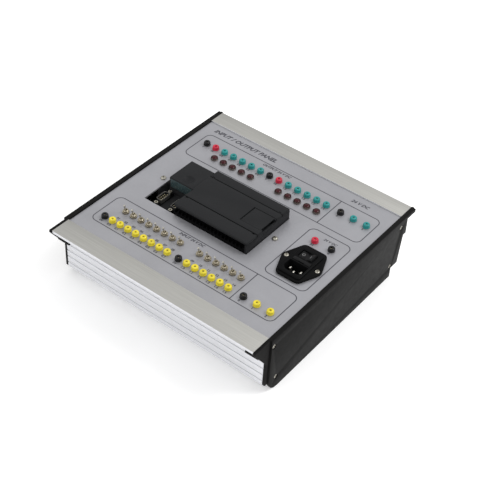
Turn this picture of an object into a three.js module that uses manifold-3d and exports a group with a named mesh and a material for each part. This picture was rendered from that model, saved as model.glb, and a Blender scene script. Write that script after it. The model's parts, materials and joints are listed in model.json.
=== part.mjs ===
// Desk-top PLC trainer console: a console case with a compact controller, sockets, lamps,
// toggle switches and a mains inlet. Millimetres, +Z up, -Y towards the user.
// Origin: centre of the footprint, on the surface that the end covers stand on.

import * as THREE from 'three';
import { mergeVertices } from 'three/addons/utils/BufferGeometryUtils.js';
import Module from 'manifold-3d';

const wasm = await Module();
wasm.setup();

// ---------------------------------------------------------------- driving dimensions

const CLEARANCE = 0.3;

// case
const RAIL_LENGTH = 282;
const CASE_DEPTH = 303;
const CASE_TOP = 80;
const CASE_FLOOR = 13;
const PANEL_RECESS = 1.7;
const PANEL_SHEET = 2;
const RAIL_SHEET = 2.2;
const FRONT_RAIL_TOP = 26;
const REAR_RAIL_TOP = 22.4;
const FRONT_WALL_SETBACK = 20.7;
const REAR_WALL_SETBACK = 24.7;
const RAIL_FOOT = 24;
const FLUTE_PITCH = 9.3;
const FLUTE_COUNT = 5;
const COVER_SKIN = 3.4;
const COVER_PANEL = 2.4;
const FOOT_RADIUS = 16;

// controller, measured in its own frame: centre of its footprint, underside at zero
const CONTROLLER = { length: 140, depth: 80.3, height: 62 };
const CONTROLLER_X = -25.6;
const CONTROLLER_Y = 1.25;
const CONTROLLER_RISE = 15.5;
const BASE_TOP = 45.8;
const DECK_LEFT = -35;
const DECK_FRONT = -20.3;
const DECK_REAR = 24.7;
const COVER_THICKNESS = 3.5;
const PORT_FLOOR = 39;
const PORT_COLUMNS = [-65.2, -43.8];
const PORT_ROW_Y = -22.8;

// mains inlet, measured in its own frame: centre of its flange, panel surface at zero
const INLET_X = 101.2;
const INLET_Y = -13.2;
const INLET_BODY = { width: 27, depth: 47 };
const ROCKER_RADIUS = 9.2;
const INLET_SCREWS = [[-20.9, 0.4], [20.9, 0.4]];

// rows on the panel
const OUTPUT_ROW_Y = 87.9;
const OUTPUT_PITCH = 13.74;
const OUTPUT_FIRST_X = -114.6;
const OUTPUT_COUNT = 14;
const LAMP_ROW_Y = 71.3;
const LAMP_SHIFT = -2.5;
const INPUT_ROW_Y = -94.6;
const INPUT_PITCH = 11.56;
const INPUT_FIRST_X = -114.3;
const INPUT_GROUPS = [9, 7];
const INPUT_GROUP_GAP = 2 * INPUT_PITCH - 7;
const ANALOG_X = 84.1;
const ANALOG_PITCH = 17.8;
const TOGGLE_ROW_Y = -73;
const TOGGLE_SHIFT = 0.5;
const TOGGLE_LEAN = 15;
const POWER_SOCKETS = [[90.1, 28], [112.7, 28]];

// ---------------------------------------------------------------- derived places

const half = (size) => size / 2;
const PANEL_TOP = CASE_TOP - PANEL_RECESS;
const PANEL_UNDER = PANEL_TOP - PANEL_SHEET;
const FRONT = -half(CASE_DEPTH);
const REAR = half(CASE_DEPTH);
const RAIL_END = half(RAIL_LENGTH);
const BASE_PLATE_UNDER = CASE_FLOOR + 2 + CLEARANCE;
const BASE_PLATE_SHEET = 1.6;
const PANEL_FRONT = FRONT + FRONT_RAIL_TOP + CLEARANCE;
const PANEL_REAR = REAR - REAR_RAIL_TOP - CLEARANCE;
const CONTROLLER_Z = PANEL_TOP + CONTROLLER_RISE - CONTROLLER.height;

const sequence = (count, first, pitch) => Array.from({ length: count }, (_, i) => first + i * pitch);
const outputColumns = sequence(OUTPUT_COUNT, OUTPUT_FIRST_X, OUTPUT_PITCH);
const analogColumns = sequence(3, ANALOG_X, ANALOG_PITCH);
const firstInputs = sequence(INPUT_GROUPS[0], INPUT_FIRST_X, INPUT_PITCH);
const secondInputs = sequence(INPUT_GROUPS[1], firstInputs.at(-1) + INPUT_GROUP_GAP, INPUT_PITCH);
const inputColumns = [...firstInputs, ...secondInputs];
const toggleColumns = [...firstInputs.slice(1), ...secondInputs.slice(1)]
  .map((x) => x + TOGGLE_SHIFT);
const lampColumns = [...outputColumns.slice(2, 7), ...outputColumns.slice(9)]
  .map((x) => x + LAMP_SHIFT);

// four screws hold each end cover: [y, z]
const COVER_SCREWS = [[-122.6, 69], [-114.5, 16.6], [122.9, 69.5], [110.6, 17.5]];
const PANEL_SCREWS = [[-111.2, 2.4], [53.4, 2.4]];

// ---------------------------------------------------------------- solids

function solid(geometry) {
  geometry.deleteAttribute('normal');
  geometry.deleteAttribute('uv');
  const merged = mergeVertices(geometry, 1e-4);
  const vertProperties = new Float32Array(merged.attributes.position.array);
  const triVerts = new Uint32Array(merged.index.array);
  return new wasm.Manifold(new wasm.Mesh({ numProp: 3, vertProperties, triVerts }));
}

const ordered = (a, b) => [Math.min(a, b), Math.max(a, b)];
const join = (...solids) => solids.reduce((whole, next) => whole.add(next));
const cut = (whole, ...holes) => holes.reduce((left, hole) => left.subtract(hole), whole);

function block([x0, x1], [y0, y1], [z0, z1]) {
  const geometry = new THREE.BoxGeometry(x1 - x0, y1 - y0, z1 - z0);
  geometry.translate((x0 + x1) / 2, (y0 + y1) / 2, (z0 + z1) / 2);
  return solid(geometry);
}

// upright round bar
function post(x, y, [z0, z1], radius, sides = 10, topRadius = radius) {
  const geometry = new THREE.CylinderGeometry(topRadius, radius, z1 - z0, sides);
  geometry.rotateX(Math.PI / 2);
  geometry.translate(x, y, (z0 + z1) / 2);
  return solid(geometry);
}

// round bar along X
function bar([x0, x1], y, z, radius, sides = 8) {
  const geometry = new THREE.CylinderGeometry(radius, radius, x1 - x0, sides);
  geometry.rotateZ(Math.PI / 2);
  geometry.translate((x0 + x1) / 2, y, z);
  return solid(geometry);
}

function outlineOf(points) {
  return new THREE.Shape(points.map(([u, v]) => new THREE.Vector2(u, v)));
}

// outline in the XY plane, extruded upwards
function slab(points, [z0, z1]) {
  const geometry = new THREE.ExtrudeGeometry(outlineOf(points), { depth: z1 - z0, bevelEnabled: false });
  geometry.translate(0, 0, z0);
  return solid(geometry);
}

// outline in the YZ plane, extruded along X
function profile(points, [x0, x1]) {
  const geometry = new THREE.ExtrudeGeometry(outlineOf(points), { depth: x1 - x0, bevelEnabled: false });
  geometry.rotateY(Math.PI / 2);
  geometry.rotateX(Math.PI / 2);
  geometry.translate(x0, 0, 0);
  return solid(geometry);
}

// outline in the XZ plane, extruded along Y
function crossProfile(points, [y0, y1]) {
  const geometry = new THREE.ExtrudeGeometry(outlineOf(points), { depth: y1 - y0, bevelEnabled: false });
  geometry.rotateX(Math.PI / 2);
  geometry.translate(0, y1, 0);
  return solid(geometry);
}

function toGeometry(manifold) {
  const mesh = manifold.getMesh();
  const geometry = new THREE.BufferGeometry();
  geometry.setAttribute('position', new THREE.BufferAttribute(new Float32Array(mesh.vertProperties), 3));
  geometry.setIndex(new THREE.BufferAttribute(new Uint32Array(mesh.triVerts), 1));
  geometry.computeVertexNormals();
  return geometry;
}

const FINISHES = {
  railAluminium: { color: 0xb4b4ae, roughness: 0.42, metalness: 0.85 },
  panelGrey: { color: 0xa5a5a8, roughness: 0.5, metalness: 0.25 },
  sheetSteel: { color: 0x9a9c9e, roughness: 0.45, metalness: 0.8 },
  coverBlack: { color: 0x242425, roughness: 0.6, metalness: 0 },
  controllerGrey: { color: 0x3a3b3c, roughness: 0.62, metalness: 0 },
  terminalBlack: { color: 0x161718, roughness: 0.5, metalness: 0 },
  screwSteel: { color: 0xb9b7b0, roughness: 0.3, metalness: 1 },
  chrome: { color: 0xd8d8d6, roughness: 0.15, metalness: 1 },
  boardGreen: { color: 0x28604a, roughness: 0.5, metalness: 0 },
  inletBlack: { color: 0x151516, roughness: 0.45, metalness: 0 },
  rockerBlack: { color: 0x1c1c1d, roughness: 0.35, metalness: 0 },
  brassPlate: { color: 0xc9b070, roughness: 0.3, metalness: 1 },
  fuseGlass: { color: 0xdfe6e6, roughness: 0.1, metalness: 0 },
  trimWhite: { color: 0xd6d2c4, roughness: 0.5, metalness: 0 },
};

function piece(name, manifold, finish, parent) {
  const mesh = new THREE.Mesh(toGeometry(manifold), new THREE.MeshStandardMaterial(FINISHES[finish]));
  mesh.name = name;
  parent.add(mesh);
  return mesh;
}

// ---------------------------------------------------------------- case

const SCREW_SHANK = 1.1;
const SCREW_HOLE = 1.45;
const PORT_RADIUS = 3.2;

// closed channel along a rail that a cover screw turns into, tied to the rail by a web
function screwPort([y, z], webReach, [x0, x1]) {
  const boss = bar([x0, x1], y, z, PORT_RADIUS, 8);
  const web = block([x0, x1], ordered(y, webReach), [z - 0.9, z + 0.9]);
  return join(boss, web);
}

function flutes(wallFace, outward, [x0, x1]) {
  const depth = 0.7;
  const width = 1.3;
  const grooves = sequence(FLUTE_COUNT, CASE_FLOOR + 5.7, FLUTE_PITCH).map((z) => {
    const inner = wallFace - outward * depth;
    const outer = wallFace + outward;
    return block([x0 - 1, x1 + 1], ordered(inner, outer), [z, z + width]);
  });
  return join(...grooves);
}

function rail({ lip, topEnd, wallFace, outward, ports }) {
  const span = [-RAIL_END, RAIL_END];
  const inward = -outward;
  const wallInner = wallFace + inward * RAIL_SHEET;
  const ledgeEnd = topEnd + inward * 4;
  const top = block(span, ordered(lip, topEnd), [CASE_TOP - RAIL_SHEET, CASE_TOP]);
  const nose = block(span, ordered(lip, lip + inward * 1.8), [CASE_TOP - 3.4, CASE_TOP]);
  const wall = block(span, ordered(wallFace, wallInner), [CASE_FLOOR, CASE_TOP - 4.4]);
  const riser = block(span, ordered(topEnd, topEnd - inward * 2.2), [CASE_TOP - 6.2, CASE_TOP]);
  const neck = block(span, ordered(wallFace, topEnd - inward), [CASE_TOP - 6.2, CASE_TOP - 4.2]);
  const ledge = block(
    span,
    ordered(topEnd - inward, ledgeEnd),
    [PANEL_UNDER - 2.2, PANEL_UNDER - CLEARANCE],
  );
  const foot = block(span, ordered(wallFace, wallFace + inward * RAIL_FOOT), [CASE_FLOOR, CASE_FLOOR + 2]);
  const screwPorts = ports.map((place) => screwPort(place, wallFace + inward, span));
  const shanks = ports.map(([y, z]) => bar([-RAIL_END - 1, RAIL_END + 1], y, z, SCREW_HOLE, 8));
  const plain = join(top, nose, wall, riser, neck, ledge, foot, ...screwPorts);
  return cut(plain, flutes(wallFace, outward, span), ...shanks);
}

function buildRails(parent) {
  const front = rail({
    lip: FRONT,
    topEnd: FRONT + FRONT_RAIL_TOP,
    wallFace: FRONT + FRONT_WALL_SETBACK,
    outward: -1,
    ports: COVER_SCREWS.slice(0, 2),
  });
  const rear = rail({
    lip: REAR,
    topEnd: REAR - REAR_RAIL_TOP,
    wallFace: REAR - REAR_WALL_SETBACK,
    outward: 1,
    ports: COVER_SCREWS.slice(2),
  });
  piece('front_rail', front, 'railAluminium', parent);
  piece('rear_rail', rear, 'railAluminium', parent);
}

function buildBasePlate(parent) {
  const frontEdge = COVER_SCREWS[1][0] + PORT_RADIUS + CLEARANCE;
  const rearEdge = COVER_SCREWS[3][0] - PORT_RADIUS - CLEARANCE;
  const sheet = block(
    [-RAIL_END + 0.3, RAIL_END - 0.3],
    [frontEdge, rearEdge],
    [BASE_PLATE_UNDER, BASE_PLATE_UNDER + BASE_PLATE_SHEET],
  );
  const slots = sequence(6, -100, 8).map((x) =>
    block([x - 1.5, x + 1.5], [45, 75], [CASE_FLOOR, BASE_PLATE_UNDER + BASE_PLATE_SHEET + 1]));
  piece('base_plate', cut(sheet, ...slots), 'sheetSteel', parent);
}

function coverOutline() {
  const tipFront = FRONT - 1;
  const tipRear = REAR + 1;
  return [
    [tipFront, CASE_TOP],
    [tipFront, CASE_TOP - 3.2],
    [FRONT + 21, 46],
    [FRONT + 21, CASE_FLOOR],
    [126.5, CASE_FLOOR],
    [130.5, 54],
    [136, 54],
    [135, 75.2],
    [tipRear - 1, 75.8],
    [tipRear, CASE_TOP],
  ];
}

function footOutline() {
  const front = FRONT + 24.8;
  const radius = FOOT_RADIUS;
  const corner = sequence(5, 0, Math.PI / 8).map((angle) => [
    front + radius - radius * Math.cos(angle),
    radius - radius * Math.sin(angle),
  ]);
  return [
    [front, CASE_TOP],
    ...corner,
    [113, 0],
    [113, CASE_FLOOR + 0.6],
    [126.5, CASE_FLOOR + 0.6],
    [130.5, 54],
    [136, 54],
    [135, 75.8],
    [REAR, 75.8],
    [REAR, CASE_TOP],
  ];
}

function endCover(side) {
  const inner = RAIL_END + 0.2;
  const middle = inner + COVER_SKIN;
  const outer = middle + COVER_PANEL;
  const skin = profile(coverOutline(), [inner, middle]);
  const raised = profile(footOutline(), [middle - 0.5, outer]);
  const foot = block([inner, middle], [FRONT + 24.8 + FOOT_RADIUS, 112], [0, CASE_FLOOR + 1]);
  const tab = block([inner - 16.5, inner + 0.5], [FRONT + 8.6, FRONT + 12.6], [61.6, 64.6]);
  const holes = COVER_SCREWS.flatMap(([y, z]) => [
    bar([inner - 1, outer + 1], y, z, SCREW_HOLE, 8),
    bar([middle - 0.2, outer + 1], y, z, 3.4, 10),
  ]);
  const right = cut(join(skin, raised, foot, tab), ...holes);
  return side > 0 ? right : right.mirror([1, 0, 0]);
}

function coverScrew(side) {
  const seat = RAIL_END + 0.2 + COVER_SKIN;
  const head = bar([seat + 0.1, seat + 2.2], 0, 0, 2.9, 10);
  const shank = bar([seat - 16, seat + 1], 0, 0, SCREW_SHANK, 6);
  const slot = block([seat + 1.2, seat + 3], [-3, 3], [-0.45, 0.45]);
  const right = cut(join(head, shank), slot);
  return side > 0 ? right : right.mirror([1, 0, 0]);
}

function buildEndCovers(parent) {
  const names = ['front_top', 'front_bottom', 'rear_top', 'rear_bottom'];
  for (const [word, side] of [['left', -1], ['right', 1]]) {
    piece(`${word}_end_cover`, endCover(side), 'coverBlack', parent);
    COVER_SCREWS.forEach(([y, z], i) => {
      const screw = piece(`${word}_cover_screw_${names[i]}`, coverScrew(side), 'screwSteel', parent);
      screw.position.set(0, y, z);
    });
  }
}

// ---------------------------------------------------------------- top panel

const SOCKET_HOLE = 3.3;
const LAMP_HOLE = 3;
const TOGGLE_HOLE = 3;

function buildPanel(parent) {
  const through = [PANEL_UNDER - 1, PANEL_TOP + 1];
  const hole = (radius, sides) => ([x, y]) => post(x, y, through, radius, sides);
  const row = (columns, y) => columns.map((x) => [x, y]);
  const sheet = block(
    [-RAIL_END + 0.3, RAIL_END - 0.3],
    [PANEL_FRONT, PANEL_REAR],
    [PANEL_UNDER, PANEL_TOP],
  );
  const sockets = [
    ...row(outputColumns, OUTPUT_ROW_Y),
    ...row(analogColumns, OUTPUT_ROW_Y),
    ...row(inputColumns, INPUT_ROW_Y),
    ...row(analogColumns, INPUT_ROW_Y),
    ...POWER_SOCKETS,
  ];
  const controllerCutout = block(
    [CONTROLLER_X - half(CONTROLLER.length) - 8.4, CONTROLLER_X + half(CONTROLLER.length) + 0.6],
    [CONTROLLER_Y - half(CONTROLLER.depth) - 0.6, CONTROLLER_Y + half(CONTROLLER.depth) + 0.6],
    through,
  );
  const inletCutout = block(
    [INLET_X - half(INLET_BODY.width) - 0.5, INLET_X + half(INLET_BODY.width) + 0.5],
    [INLET_Y - half(INLET_BODY.depth) - 0.5, INLET_Y + half(INLET_BODY.depth) + 0.5],
    through,
  );
  const panel = cut(
    sheet,
    controllerCutout,
    inletCutout,
    ...sockets.map(hole(SOCKET_HOLE, 6)),
    ...row(lampColumns, LAMP_ROW_Y).map(hole(LAMP_HOLE, 6)),
    ...row(toggleColumns, TOGGLE_ROW_Y).map(hole(TOGGLE_HOLE, 6)),
    ...INLET_SCREWS.map(([x, y]) => [INLET_X + x, INLET_Y + y]).map(hole(SCREW_HOLE, 6)),
    ...PANEL_SCREWS.map(hole(1.8, 6)),
  );
  piece('front_panel', panel, 'panelGrey', parent);
}

function buildPanelScrews(parent) {
  PANEL_SCREWS.forEach(([x, y], i) => {
    const head = post(0, 0, [CLEARANCE, 2.4], 3.3, 12, 2.6);
    const shank = post(0, 0, [-9, 1], 1.4, 6);
    const slot = block([-4, 4], [-0.5, 0.5], [1.3, 3]);
    const screw = piece(`panel_screw_${i + 1}`, cut(join(head, shank), slot), 'screwSteel', parent);
    screw.position.set(x, y, PANEL_TOP);
  });
}

// ---------------------------------------------------------------- sockets, lamps, toggles

const BOARD_DROP = 15.5;
const BOARD_SHEET = 1.6;
const SOCKET_RISE = 5;

function socket(x, y) {
  const flange = post(x, y, [CLEARANCE, SOCKET_RISE], 4.3, 8, 4.0);
  const stem = post(x, y, [-BOARD_DROP - 0.5, 1], 2.8, 6);
  const bore = post(x, y, [-12, SOCKET_RISE + 1], 1.3, 5);
  return cut(join(flange, stem), bore);
}

function lamp(x, y) {
  const bezel = post(x, y, [CLEARANCE, 2.8], 4.6, 8, 4.2);
  const dome = post(x, y, [1, 4], 3.6, 6, 2.4);
  const stem = post(x, y, [-BOARD_DROP - 0.5, 1], 2.4, 6);
  return join(bezel, dome, stem);
}

const TOGGLE_BUSH = 2.5;
const TOGGLE_PIVOT = 2.6;

function toggleBody(x, y) {
  const nut = post(x, y, [CLEARANCE, 2.2], 4.5, 6);
  const bush = post(x, y, [-6, 4.6], TOGGLE_BUSH, 6);
  const body = block([x - 4.2, x + 4.2], [y - 4.5, y + 4.5], [-BOARD_DROP - 0.5, -5]);
  const throat = post(x, y, [-3.5, 5.6], 1.2, 6, 2.4);
  return cut(join(nut, bush, body), throat);
}

// thin lever turning on a cross pin inside the bush; it leans to the front at rest
function toggleLever() {
  return post(0, 0, [-2, 9.9], 0.75, 8, 1.35);
}

function board(columns, [y0, y1]) {
  const x0 = Math.min(...columns) - 6;
  const x1 = Math.max(...columns) + 6;
  return block([x0, x1], [y0, y1], [-BOARD_DROP - BOARD_SHEET, -BOARD_DROP]);
}

function buildBoards(parent) {
  const outputs = join(
    board([...outputColumns, ...analogColumns], [LAMP_ROW_Y - 6, OUTPUT_ROW_Y + 6]),
    ...[...outputColumns, ...analogColumns].map((x) => socket(x, OUTPUT_ROW_Y)),
    ...lampColumns.map((x) => lamp(x, LAMP_ROW_Y)),
  );
  const inputs = join(
    board([...inputColumns, ...analogColumns], [INPUT_ROW_Y - 6, TOGGLE_ROW_Y + 6]),
    ...[...inputColumns, ...analogColumns].map((x) => socket(x, INPUT_ROW_Y)),
    ...toggleColumns.map((x) => toggleBody(x, TOGGLE_ROW_Y)),
  );
  const supply = join(
    board(POWER_SOCKETS.map(([x]) => x), [POWER_SOCKETS[0][1] - 6, POWER_SOCKETS[0][1] + 6]),
    ...POWER_SOCKETS.map(([x, y]) => socket(x, y)),
  );
  piece('output_board', outputs, 'boardGreen', parent);
  piece('input_board', inputs, 'boardGreen', parent);
  piece('power_socket_board', supply, 'boardGreen', parent);
  toggleColumns.forEach((x, i) => {
    const lever = piece(`toggle_lever_${i + 1}`, toggleLever(), 'chrome', parent);
    lever.position.set(x, TOGGLE_ROW_Y, TOGGLE_PIVOT);
    lever.rotation.x = THREE.MathUtils.degToRad(TOGGLE_LEAN);
  });
}

// ---------------------------------------------------------------- controller mounting

const RAIL_BASE = -4;
const DIN_HALF = 17.5;
const BRACKET_SHEET = 1.5;

function buildMounting(parent) {
  const left = PANEL_SCREWS[0][0] - CONTROLLER_X;
  const right = PANEL_SCREWS[1][0] - CONTROLLER_X;
  const tabTop = PANEL_UNDER - CONTROLLER_Z - CLEARANCE;
  const trayTop = RAIL_BASE - CLEARANCE;
  const trayUnder = trayTop - BRACKET_SHEET;
  const outer = [left + 4, right - 4];
  const tray = block([outer[0], outer[1]], [-15, 15], [trayUnder, trayTop]);
  const leftLeg = block([outer[0], outer[0] + BRACKET_SHEET], [-15, 15], [trayUnder, tabTop]);
  const rightLeg = block([outer[1] - BRACKET_SHEET, outer[1]], [-15, 15], [trayUnder, tabTop]);
  const leftTab = block([left - 6, outer[0] + 1], [-15, 15], [tabTop - BRACKET_SHEET, tabTop]);
  const rightTab = block([outer[1] - 1, right + 6], [-15, 15], [tabTop - BRACKET_SHEET, tabTop]);
  const holes = PANEL_SCREWS.map(([x, y]) =>
    post(x - CONTROLLER_X, y - CONTROLLER_Y, [tabTop - 4, tabTop + 1], 1.8, 6));
  const bracket = cut(join(tray, leftLeg, rightLeg, leftTab, rightTab), ...holes);
  piece('mounting_bracket', bracket, 'sheetSteel', parent);

  const web = block([-68, 68], [-13, 13], [RAIL_BASE, RAIL_BASE + 1]);
  const wall = (y) => block([-68, 68], [y - 0.5, y + 0.5], [RAIL_BASE, RAIL_BASE + 7.5]);
  const lip = (y0, y1) => block([-68, 68], [y0, y1], [RAIL_BASE + 6.5, RAIL_BASE + 7.5]);
  const din = join(web, wall(-13), wall(13), lip(-DIN_HALF, -12.5), lip(12.5, DIN_HALF));
  piece('din_rail', din, 'sheetSteel', parent);
}

// ---------------------------------------------------------------- controller

function controllerBase() {
  const { length, depth } = CONTROLLER;
  const body = block([-half(length), half(length)], [-half(depth), half(depth)], [0, BASE_TOP]);
  const portBay = block(
    [-half(length) - 1, DECK_LEFT],
    [-half(depth) - 1, -6.1],
    [PORT_FLOOR, BASE_TOP + 1],
  );
  const railGroove = block(
    [-half(length) - 1, half(length) + 1],
    [-DIN_HALF - 0.5, DIN_HALF + 0.5],
    [-1, 3.8],
  );
  const clipGroove = block([-8.4, 8.4], [-half(depth) - 1, -DIN_HALF], [-1, 2.6]);
  return cut(body, portBay, railGroove, clipGroove);
}

// top face with the access bay, and the two end cheeks beside the terminal covers
function controllerFace() {
  const { length, depth, height } = CONTROLLER;
  const z = [BASE_TOP + CLEARANCE, height];
  const deck = block([DECK_LEFT, half(length)], [DECK_FRONT, DECK_REAR], z);
  const cheek = block(
    [half(length) - 2.6, half(length)],
    [-half(depth), half(depth)],
    [z[0], height - COVER_THICKNESS - 0.5],
  );
  const bay = block([40.4, half(length) - 2], [-11.2, 13.6], [54, height + 1]);
  const doorSeat = block([38.4, half(length) + 1], [-12.8, 15.2], [height - 2.6, height + 1]);
  const finger = block([half(length) - 4, half(length) + 1], [-11.8, 14.2], [height - 4.4, height + 1]);
  const trims = [-6, 8].map((y) => post(50, y, [49, 55], 2.3, 8));
  const selector = block([58, 61.4], [-6.4, 6.4], [50, 55]);
  const scallop = block([DECK_LEFT - 1, DECK_LEFT + 1.2], [DECK_FRONT + 2, -6], [height - 1.2, height + 1]);
  return cut(join(deck, cheek), bay, doorSeat, finger, ...trims, selector, scallop);
}

function sideBlock() {
  const { length, height } = CONTROLLER;
  const z = [BASE_TOP + CLEARANCE, height - 1];
  const body = block([-half(length), DECK_LEFT - CLEARANCE], [-5.8, 34.4], z);
  const scoop = new THREE.SphereGeometry(11, 18, 12);
  scoop.translate(-50, 4.5, height + 7);
  return cut(body, solid(scoop));
}

const HINGE_GAP = 1.2;

// lid over one row of terminals, with its hinge barrel along the deck
function terminalCover(outward) {
  const { length, depth, height } = CONTROLLER;
  const under = height - COVER_THICKNESS;
  const near = outward < 0 ? DECK_FRONT - HINGE_GAP : DECK_REAR + HINGE_GAP;
  const far = outward * half(depth);
  const bevel = 1.2;
  const outline = [
    [near, height],
    [far - outward * bevel, height],
    [far, height - bevel],
    [far, under],
    [near + outward, under],
    [near, under + 1],
  ];
  const plate = profile(outward < 0 ? outline : [...outline].reverse(), [DECK_LEFT + 0.4, half(length)]);
  const notches = [DECK_LEFT + 3, half(length) - 6].map((x) =>
    block([x, x + 3], [near - 1.6, near + 1.6], [height - 1, height + 1]));
  return cut(plate, ...notches);
}

const TERMINAL_COUNT = 19;
const TERMINAL_PITCH = 5.2;

// terminal strip with a wire entry in front of each clamp
function terminalBlock(outward) {
  const { depth } = CONTROLLER;
  const far = outward * (half(depth) - 0.1);
  const near = outward < 0 ? DECK_FRONT - 1 : DECK_REAR + 1;
  const floor = BASE_TOP + CLEARANCE;
  const strip = block([DECK_LEFT + 0.5, 67], ordered(far, near), [floor, 53]);
  const inner = far - outward * 4;
  const entries = sequence(TERMINAL_COUNT, DECK_LEFT + 4.2, TERMINAL_PITCH).map((x) =>
    block([x - 1.9, x + 1.9], ordered(far + outward, inner), [50, 54]));
  return cut(strip, ...entries);
}

function port() {
  const flange = block([-4.6, 4.6], [-15.4, 15.4], [0, 1]);
  const shellOutline = [[-3.95, -7.7], [3.95, -8.5], [3.95, 8.5], [-3.95, 7.7]];
  const shell = slab(shellOutline, [0.5, 6.6]);
  const hollowOutline = [[-3.35, -7.1], [3.35, -7.9], [3.35, 7.9], [-3.35, 7.1]];
  const hollow = slab(hollowOutline, [2.2, 8]);
  const jack = (y) => post(0, y, [0.5, 5.4], 2.4, 6);
  const bore = (y) => post(0, y, [1.5, 7], 1.2, 6);
  return cut(join(flange, shell, jack(-12.5), jack(12.5)), hollow, bore(-12.5), bore(12.5));
}

function buildController(parent) {
  const { length, depth, height } = CONTROLLER;
  piece('controller_base', controllerBase(), 'controllerGrey', parent);
  piece('controller_face', controllerFace(), 'controllerGrey', parent);
  piece('controller_side_block', sideBlock(), 'controllerGrey', parent);
  piece('lower_terminal_cover', terminalCover(-1), 'controllerGrey', parent);
  piece('upper_terminal_cover', terminalCover(1), 'controllerGrey', parent);
  piece('lower_terminal_block', terminalBlock(-1), 'terminalBlack', parent);
  piece('upper_terminal_block', terminalBlock(1), 'terminalBlack', parent);

  const door = block([39.7, half(length) - 0.4], [-12.4, 14.8], [height - 1.9, height - 0.3]);
  const doorFinger = block([half(length) - 2.8, half(length)], [-11, 13.4], [height - 3, height]);
  piece('access_door', cut(door, doorFinger), 'controllerGrey', parent);

  const knob = join(block([-1.3, 1.3], [-3.6, 3.6], [0, 3]), block([-1.3, 1.3], [-1, 1], [0, 5]));
  const selector = piece('mode_switch', knob, 'trimWhite', parent);
  selector.position.set(59.7, 0, 50.4);

  [-6, 8].forEach((y, i) => {
    const pot = cut(post(0, 0, [0, 5.4], 1.9, 10), block([-3, 3], [-0.3, 0.3], [4.6, 6]));
    const trim = piece(`trim_pot_${i + 1}`, pot, 'trimWhite', parent);
    trim.position.set(50, y, 49.4);
  });

  PORT_COLUMNS.forEach((x, i) => {
    const socketShell = piece(`comm_port_${i + 1}`, port(), 'chrome', parent);
    socketShell.position.set(x, PORT_ROW_Y, PORT_FLOOR + CLEARANCE);
  });

  const tongue = block([-8, 8], [-half(depth) + 5, -DIN_HALF + 3.6], [0.3, 2.2]);
  const pull = block([-4, 4], [-half(depth) - 3, -half(depth) + 6], [0.3, 2.2]);
  piece('din_clip', join(tongue, pull), 'terminalBlack', parent);
}

// ---------------------------------------------------------------- mains inlet

const DOME = 5.5;
const FUSE_Y = 0.4;
const ROCKER_Y = 11.4;
const ROCKER_PIVOT = 2;
const ROCKER_TILT = 10;
const PLUG_FLOOR = -12;
const PINS = [[-7, -10.8], [7, -10.8], [0, -14.8]];
const PIN_NAMES = ['inlet_pin_line', 'inlet_pin_neutral', 'inlet_pin_earth'];

function flangeOutline(grow = 0) {
  return [
    [-15 - grow / 2, -28.6 - grow],
    [15 + grow / 2, -28.6 - grow],
    [26.6 + grow, 0],
    [15 + grow / 2, 28.6 + grow],
    [-15 - grow / 2, 28.6 + grow],
    [-26.6 - grow, 0],
  ];
}

const plugOutline = [[-8, -20.6], [8, -20.6], [12.2, -16.2], [12.2, -4.2], [-12.2, -4.2], [-12.2, -16.2]];

function inletBody() {
  const { width, depth } = INLET_BODY;
  const flange = slab(flangeOutline(), [CLEARANCE, 2.6]);
  const bevel = slab(flangeOutline(-1.6), [2.5, 3.6]);
  const dome = block([-14.2, 14.2], [-24, 22], [2, DOME]);
  const shell = block([-half(width), half(width)], [-half(depth), half(depth)], [-20, 1]);
  const plug = slab(plugOutline, [PLUG_FLOOR, DOME + 1]);
  const drawerSlot = block([-11.8, 11.8], [FUSE_Y - 3, FUSE_Y + 3], [-17, DOME + 1]);
  const rockerWell = block([-9.8, 9.8], [ROCKER_Y - 6.4, ROCKER_Y + 6.4], [-8.5, DOME + 1]);
  const pins = PINS.map(([x, y]) =>
    block([x - 1.3, x + 1.3], [y - 2.3, y + 2.3], [-21, PLUG_FLOOR + 1]));
  const screws = INLET_SCREWS.map(([x, y]) => post(x, y, [-1, 5], SCREW_HOLE, 6));
  const sinks = INLET_SCREWS.map(([x, y]) => post(x, y, [1.5, 7], 3.4, 10));
  const whole = join(flange, bevel, dome, shell);
  return cut(whole, plug, drawerSlot, rockerWell, ...pins, ...screws, ...sinks);
}

function rockerOutline() {
  const rim = (angle) => [ROCKER_RADIUS * Math.cos(angle), ROCKER_RADIUS * Math.sin(angle)];
  const degrees = THREE.MathUtils.degToRad;
  const right = sequence(6, -30, 11.6).map((angle) => rim(degrees(angle)));
  const left = [...right].reverse().map(([x, z]) => [-x, z]);
  return [...right, [0, 2], ...left];
}

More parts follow.
